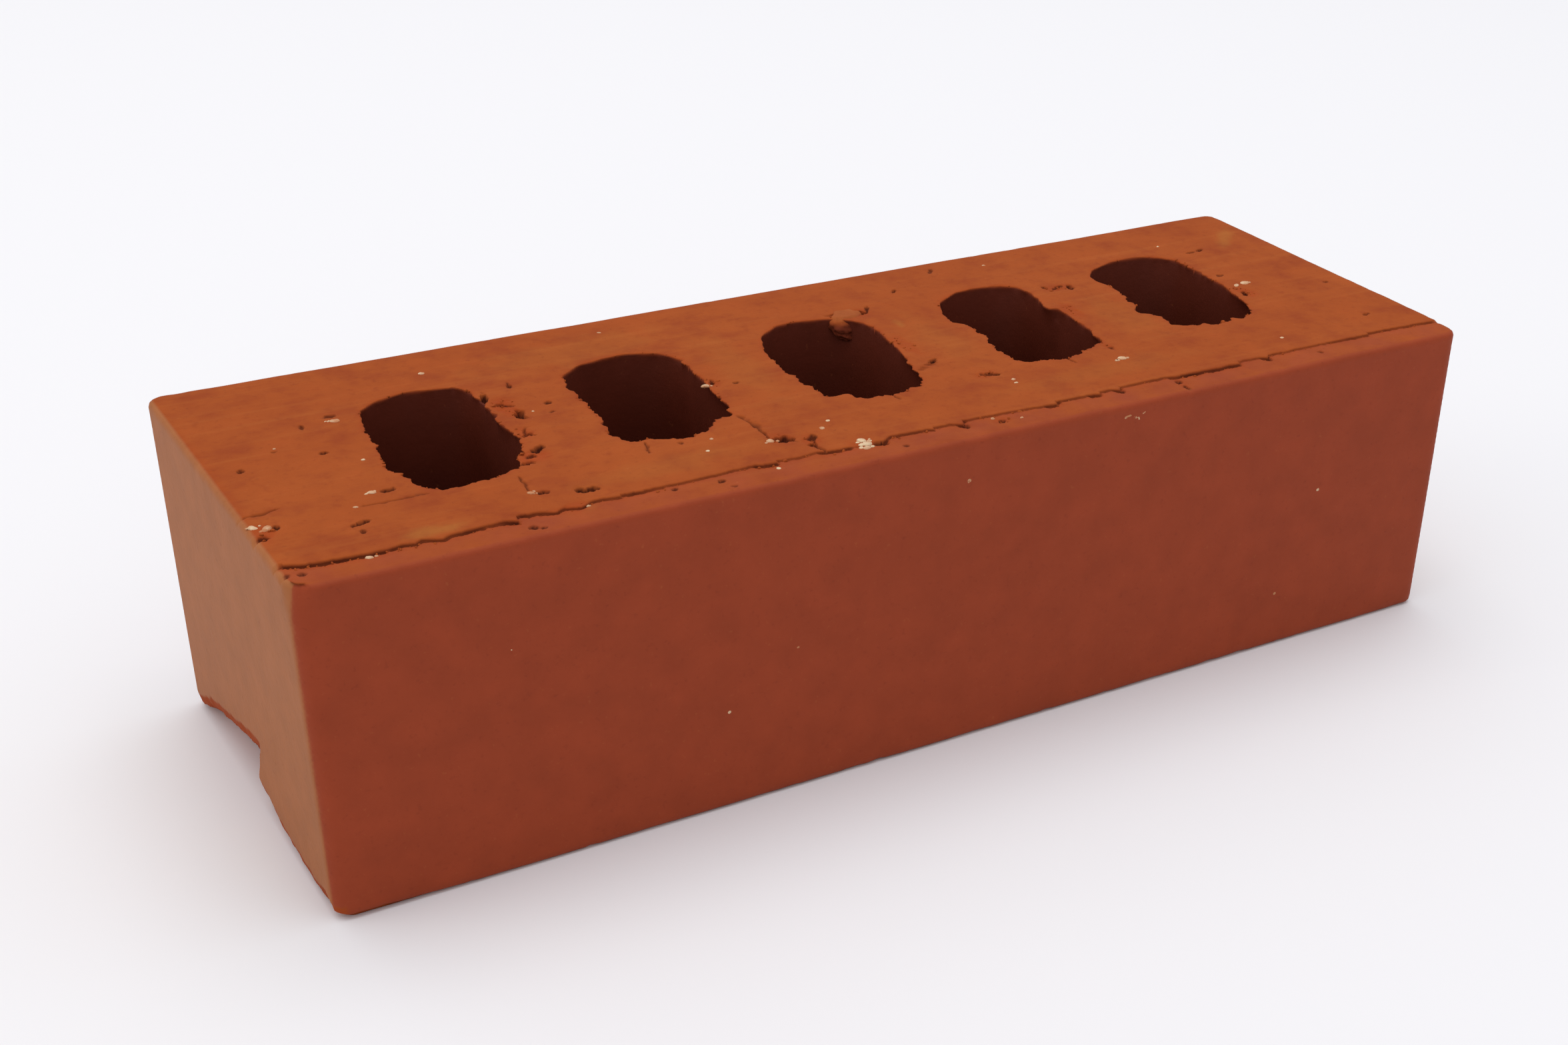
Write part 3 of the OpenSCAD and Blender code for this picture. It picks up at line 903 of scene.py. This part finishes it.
# Grains in the upper bed face: x, y and size in mm
BED_GRAINS = ((-113.5, 19.3, 2.8), (-118.4, -17.8, 2.2), (-141.0, -24.2, 2.7), (-143.2, -22.6, 2.1),
              (-127.8, -43.8, 2.1), (-91.0, -32.6, 1.9), (-19.6, -40.4, 2.6), (-19.2, -42.2, 3.0),
              (-20.2, -43.8, 2.4), (-18.2, -41.3, 1.6), (-36.9, -31.9, 2.2), (-24.0, -30.9, 1.6),
              (-21.0, -28.1, 1.2), (28.3, -26.6, 1.3), (27.7, -28.6, 1.2), (58.3, -27.5, 2.6),
              (56.3, -28.1, 1.3), (117.4, 0.4, 2.6), (114.4, 0.1, 1.8), (-123.2, -22.8, 1.1),
              (-114.8, -2.3, 1.1), (-128.8, 11.0, 0.8), (-74.6, 5.4, 0.9), (-43.2, 41.4, 1.1),
              (64.0, 41.2, 1.2), (101.2, -34.1, 1.3), (114.4, 33.4, 0.9), (-47.5, -25.3, 0.9),
              (-50.9, -30.4, 1.0), (-88.2, 36.3, 1.5), (-41.4, -44.0, 1.1), (12.0, -42.9, 1.1),
              (18.1, -45.2, 1.0), (-35.6, 1.4, 1.9), (-83.0, -42.6, 1.0))
# Grains in the front skin: x, height, length, width in mm, turn in degrees
FRONT_GRAINS = ((1.9, 65.7, 1.2, 1.0, 0), (43.8, 72.4, 3.0, 0.7, 8), (46.6, 71.6, 2.6, 0.8, -22),
                (48.4, 72.6, 1.4, 0.5, 30), (-56.9, 24.3, 0.9, 0.8, 0), (104.7, 41.3, 1.0, 0.8, 0),
                (94.9, 14.9, 0.9, 0.7, 0), (-40.2, 35.6, 0.7, 0.6, 0), (-104.0, 52.0, 0.5, 0.5, 0))

CHIP_SIZE = 1.8                     # a grain over this size broke into three chips, in mm
SUNK_SHARE = 0.12                   # how much of its half size a grain lies below the face
FLUSH_DEPTH, FLUSH_HALF = 0.17, 0.13            # a front grain's depth in the skin, its half thickness

# Lime: a chalky, quite matt white, cream to faint pink where clay clings to it
lime = bpy.data.materials.new("lime_grain")
lime.use_nodes = True
chalk = lime.node_tree
chalk.nodes.clear()
chalk_place = add_node(chalk, "ShaderNodeTexCoord").outputs["Object"]
cling = add_node(chalk, "ShaderNodeTexNoise", Vector=chalk_place, Scale=1 / (2 * 1.6 * MM), Detail=4.0)
cling = add_node(chalk, "ShaderNodeMapRange", Value=cling, From_Min=0.38, From_Max=0.60)
powder = add_node(chalk, "ShaderNodeTexNoise", Vector=chalk_place, Scale=1 / (2 * 0.25 * MM), Detail=2.0)
chalk_colour = add_node(chalk, "ShaderNodeMix", {"data_type": "RGBA"}, _0=cling, _6=linear("#dcc3a0"),
                        _7=linear("#bb7f58"))
chalk_bump = add_node(chalk, "ShaderNodeBump", Strength=0.6, Distance=0.2 * MM, Height=powder)
chalk_face = add_node(chalk, "ShaderNodeBsdfPrincipled", Roughness=0.85, Specular_IOR_Level=0.2,
                      Base_Color=chalk_colour, Normal=chalk_bump)
add_node(chalk, "ShaderNodeOutputMaterial", Surface=chalk_face)


def lump_tree(name, material, rounds):
    """A node tree that sets a rough lump on each point, by the point's `size` and `turn`."""
    tree = bpy.data.node_groups.new(name, "GeometryNodeTree")
    for label, way, kind in (("Geometry", "INPUT", "Geometry"), ("Dent Spacing", "INPUT", "Float"),
                             ("Dent Depth", "INPUT", "Float"), ("Geometry", "OUTPUT", "Geometry")):
        tree.interface.new_socket(label, in_out=way, socket_type="NodeSocket" + kind)
    given = add_node(tree, "NodeGroupInput").outputs
    size, turn = (add_node(tree, "GeometryNodeInputNamedAttribute", {"data_type": "FLOAT_VECTOR"},
                           Name=label) for label in ("size", "turn"))
    ball = add_node(tree, "GeometryNodeMeshIcoSphere", Radius=1.0, Subdivisions=rounds)
    lumps = add_node(tree, "GeometryNodeInstanceOnPoints", Points=given["Geometry"], Instance=ball,
                     Rotation=turn, Scale=size)
    lumps = add_node(tree, "GeometryNodeRealizeInstances", Geometry=lumps)
    density = add_node(tree, "ShaderNodeMath", {"operation": "DIVIDE"}, _0=1.0, _1=given["Dent Spacing"])
    dents = add_node(tree, "ShaderNodeTexNoise", Scale=density, Detail=2.0, Roughness=0.6)
    dents = add_node(tree, "ShaderNodeMath", {"operation": "SUBTRACT"}, _0=dents, _1=0.5)
    dents = add_node(tree, "ShaderNodeMath", {"operation": "MULTIPLY"}, _0=dents, _1=given["Dent Depth"])
    shift = add_node(tree, "ShaderNodeVectorMath", {"operation": "SCALE"},
                     _0=add_node(tree, "GeometryNodeInputNormal"), Scale=dents)
    lumps = add_node(tree, "GeometryNodeSetPosition", Geometry=lumps, Offset=shift)
    lumps = add_node(tree, "GeometryNodeSetMaterial", Geometry=lumps, Material=material)
    add_node(tree, "NodeGroupOutput", _0=lumps)
    return tree


def lay_lumps(name, tree, places, sizes, turns, dent_spacing, dent_depth):
    """Sets lumps at places in mm, and returns them as one plain mesh object that stays inside
    the block's box. Dents are given in mm."""
    mesh = bpy.data.meshes.new(name)
    mesh.from_pydata((np.array(places) * MM).tolist(), [], [])
    for label, values in (("size", np.array(sizes) * MM), ("turn", np.array(turns))):
        layer = mesh.attributes.new(label, "FLOAT_VECTOR", "POINT")
        layer.data.foreach_set("vector", values.astype(np.float32).ravel())
    piece = bpy.data.objects.new(name, mesh)
    bpy.context.scene.collection.objects.link(piece)
    modifier = piece.modifiers.new(name, "NODES")
    modifier.node_group = tree
    sockets = {item.name: item.identifier for item in tree.interface.items_tree if item.in_out == "INPUT"}
    modifier[sockets["Dent Spacing"]] = dent_spacing * MM
    modifier[sockets["Dent Depth"]] = dent_depth * MM
    solid = bpy.data.meshes.new_from_object(piece.evaluated_get(bpy.context.evaluated_depsgraph_get()))
    piece.modifiers.clear()
    for vertex in solid.vertices:
        vertex.co = np.clip(vertex.co, low, high)
    piece.data = solid
    return piece


def bed_height(x, y):
    """Height of the upper bed face in mm at one place."""
    return HEIGHT - CUT_DEPTH + cut_face(np.array([[x, y]], float))[0][0]


chooser = random.Random(31)
places, sizes, turns = [], [], []
for x, y, size in BED_GRAINS:
    for part in range(3 if size > CHIP_SIZE else 1):
        share = 1.0 if part == 0 else chooser.uniform(0.3, 0.5)
        dx = 0.0 if part == 0 else chooser.choice((-1, 1)) * chooser.uniform(0.4, 0.7) * size
        dy = 0.0 if part == 0 else chooser.uniform(-0.3, 0.3) * size
        half = size * share / 2
        places.append((x + dx, y + dy, bed_height(x + dx, y + dy) - SUNK_SHARE * half))
        sizes.append((half * chooser.uniform(0.8, 1.05), half * chooser.uniform(0.6, 0.85),
                      half * chooser.uniform(0.35, 0.5)))
        turns.append((chooser.uniform(-0.2, 0.2), chooser.uniform(-0.2, 0.2), chooser.uniform(-0.8, 0.8)))
for x, z, length, width, turn_by in FRONT_GRAINS:
    places.append((x, -WIDTH / 2 + FLUSH_DEPTH, z))
    sizes.append((length / 2, FLUSH_HALF, width / 2))
    turns.append((0.0, math.radians(-turn_by), 0.0))
lime_grains = lay_lumps("lime_grains", lump_tree("lime_grains", lime, rounds=3), places, sizes, turns,
                        dent_spacing=0.9, dent_depth=0.5)
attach(lime_grains, "root")

# ---------------------------------------------------------------------------------------
# Clay crumbs
# Crumbs of the same clay that the wire tore loose and that fired fast, on the torn patches,
# along the lip of the smeared skin and round the rims.
# ---------------------------------------------------------------------------------------

CRUMBS = 380
CRUMB_LIMIT = 1.5                   # the largest crumb in mm; most are near 0.5
CRUMB_SEAT = 0.2                    # how much of its half size a crumb sinks into the face

torn_places = np.flatnonzero(
    (clay_points[:, 2] > HEIGHT - 2.0) & (clay_paint["torn"] > 0.40)
    & (np.abs(clay_points[:, 0]) < LENGTH / 2 - 2) & (np.abs(clay_points[:, 1]) < WIDTH / 2 - 2))
places, sizes, turns = [], [], []
for site in np.random.default_rng(5).choice(torn_places, CRUMBS, replace=False):
    half = 0.5 * min(CRUMB_LIMIT, chooser.lognormvariate(-0.7, 0.42))
    places.append(tuple(clay_points[site] - (0, 0, CRUMB_SEAT * half)))
    sizes.append((half * chooser.uniform(0.9, 1.6), half * chooser.uniform(0.7, 1.1),
                  half * chooser.uniform(0.5, 0.8)))
    turns.append(tuple(chooser.uniform(0, 3) for _ in range(3)))
clay_crumbs = lay_lumps("clay_crumbs", lump_tree("clay_crumbs", fired_clay, rounds=2), places, sizes,
                        turns, dent_spacing=1.0, dent_depth=0.4)
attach(clay_crumbs, "root")

# ---------------------------------------------------------------------------------------
# Hanging lump
# A thumb of clay that the wire pulled half across the middle perforation's back right rim.
# It curled down into the hole. Its top is painted paler as a painted highlight, and its lower part darker
# as painted shade.
# ---------------------------------------------------------------------------------------

LUMP_PLACE = np.array((14.2, 24.9, 73.1))       # its middle, in mm
LUMP_SIZE = np.array((4.8, 4.0, 2.3))           # its half sizes, in mm
LUMP_LEAN = Euler((0.5, -0.3, 0.6))             # how it lies, in radians

ball = bmesh.new()
bmesh.ops.create_icosphere(ball, subdivisions=5, radius=1.0)
lump_way = np.array([vertex.co for vertex in ball.verts])
lump_faces = np.array([[vertex.index for vertex in face.verts] for face in ball.faces])
ball.free()
swell = 1 + 0.22 * layered_noise(lump_way, 0.9, 101, 3) + 0.25 * lump_way @ (0.5, 0.6, 0.2)
lump_points = lump_way * swell[:, None] * LUMP_SIZE
lump_points = lump_points @ np.array(LUMP_LEAN.to_matrix()).T + LUMP_PLACE
lump_points[:, 2] = np.minimum(lump_points[:, 2], HEIGHT - 0.05)
# Painted shade on its lower part, and a painted highlight on its top
lump_paint = {"bore_shade": 0.9 * ramp(lump_points[:, 2], 75.4, 74.0),
              "pale_sheen": 0.3 * ramp(lump_points[:, 2], 74.8, 75.6)}
hanging_lump = finish_mesh("hanging_lump", lump_points, lump_faces, lump_paint)
hanging_lump.data.materials.append(fired_clay)
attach(hanging_lump, "root")

# ---------------------------------------------------------------------------------------
# Stage
# A pale matt floor under a soft, bright sky, with one soft box overhead and a weak warm one
# to the left, and the camera.
# ---------------------------------------------------------------------------------------

bpy.ops.mesh.primitive_plane_add(size=12)
floor = bpy.context.active_object
floor.name = "floor"
floor_paint = bpy.data.materials.new("pale_floor")
floor_paint.use_nodes = True
floor_shader = floor_paint.node_tree.nodes["Principled BSDF"]
floor_shader.inputs["Base Color"].default_value = linear("#efeff1")
floor_shader.inputs["Roughness"].default_value = 0.8
floor_shader.inputs["Specular IOR Level"].default_value = 0.2
floor.data.materials.append(floor_paint)

# The sky is brightest overhead and pale grey round the sides
world = bpy.data.worlds.new("studio")
bpy.context.scene.world = world
world.use_nodes = True
sky = world.node_tree
sky_way = add_node(sky, "ShaderNodeTexCoord").outputs["Generated"]
sky_height = add_node(sky, "ShaderNodeSeparateXYZ", Vector=sky_way).outputs["Z"]
sky_light = add_node(sky, "ShaderNodeMapRange", Value=sky_height, To_Min=0.36, To_Max=1.05)
sky.nodes["Background"].inputs["Color"].default_value = linear("#fcfcff")
sky.links.new(sky_light.outputs[0], sky.nodes["Background"].inputs["Strength"])
# Standard keeps the clay's red, which the default view transform greys
bpy.context.scene.view_settings.view_transform = "Standard"


def soft_light(name, where, aim, size, power, tint):
    """A square soft box at `where`, facing `aim`, in metres and watts."""
    lamp = bpy.data.lights.new(name, "AREA")
    lamp.shape, lamp.size, lamp.energy, lamp.color = "SQUARE", size, power, linear(tint)[:3]
    holder = bpy.data.objects.new(name, lamp)
    holder.location = where
    holder.rotation_euler = (Vector(aim) - Vector(where)).to_track_quat("-Z", "Y").to_euler()
    bpy.context.scene.collection.objects.link(holder)


soft_light("overhead_box", (0.1, 0.25, 2.6), (0, 0, 0), 2.0, 22, "#ffffff")
soft_light("left_box", (-2.2, 0.6, 0.9), (0, 0, 0.05), 1.4, 6, "#fff0dc")

CAMERA_PLACE = (-0.2305, -0.3998, 0.2591)       # in metres
HEADING, DOWN_TILT, ROLL = math.radians(33.94), math.radians(31.53), math.radians(2.69)

lens = bpy.data.cameras.new("camera")
lens.sensor_width = 36
lens.lens = 48.7
lens.shift_x = -0.118
lens.shift_y = 0.135
camera = bpy.data.objects.new("camera", lens)
turn = Euler((math.pi / 2 - DOWN_TILT, 0, -HEADING), "XYZ").to_matrix() @ Matrix.Rotation(ROLL, 3, "Z")
camera.matrix_world = Matrix.Translation(CAMERA_PLACE) @ turn.to_4x4()
bpy.context.scene.collection.objects.link(camera)
bpy.context.scene.camera = camera
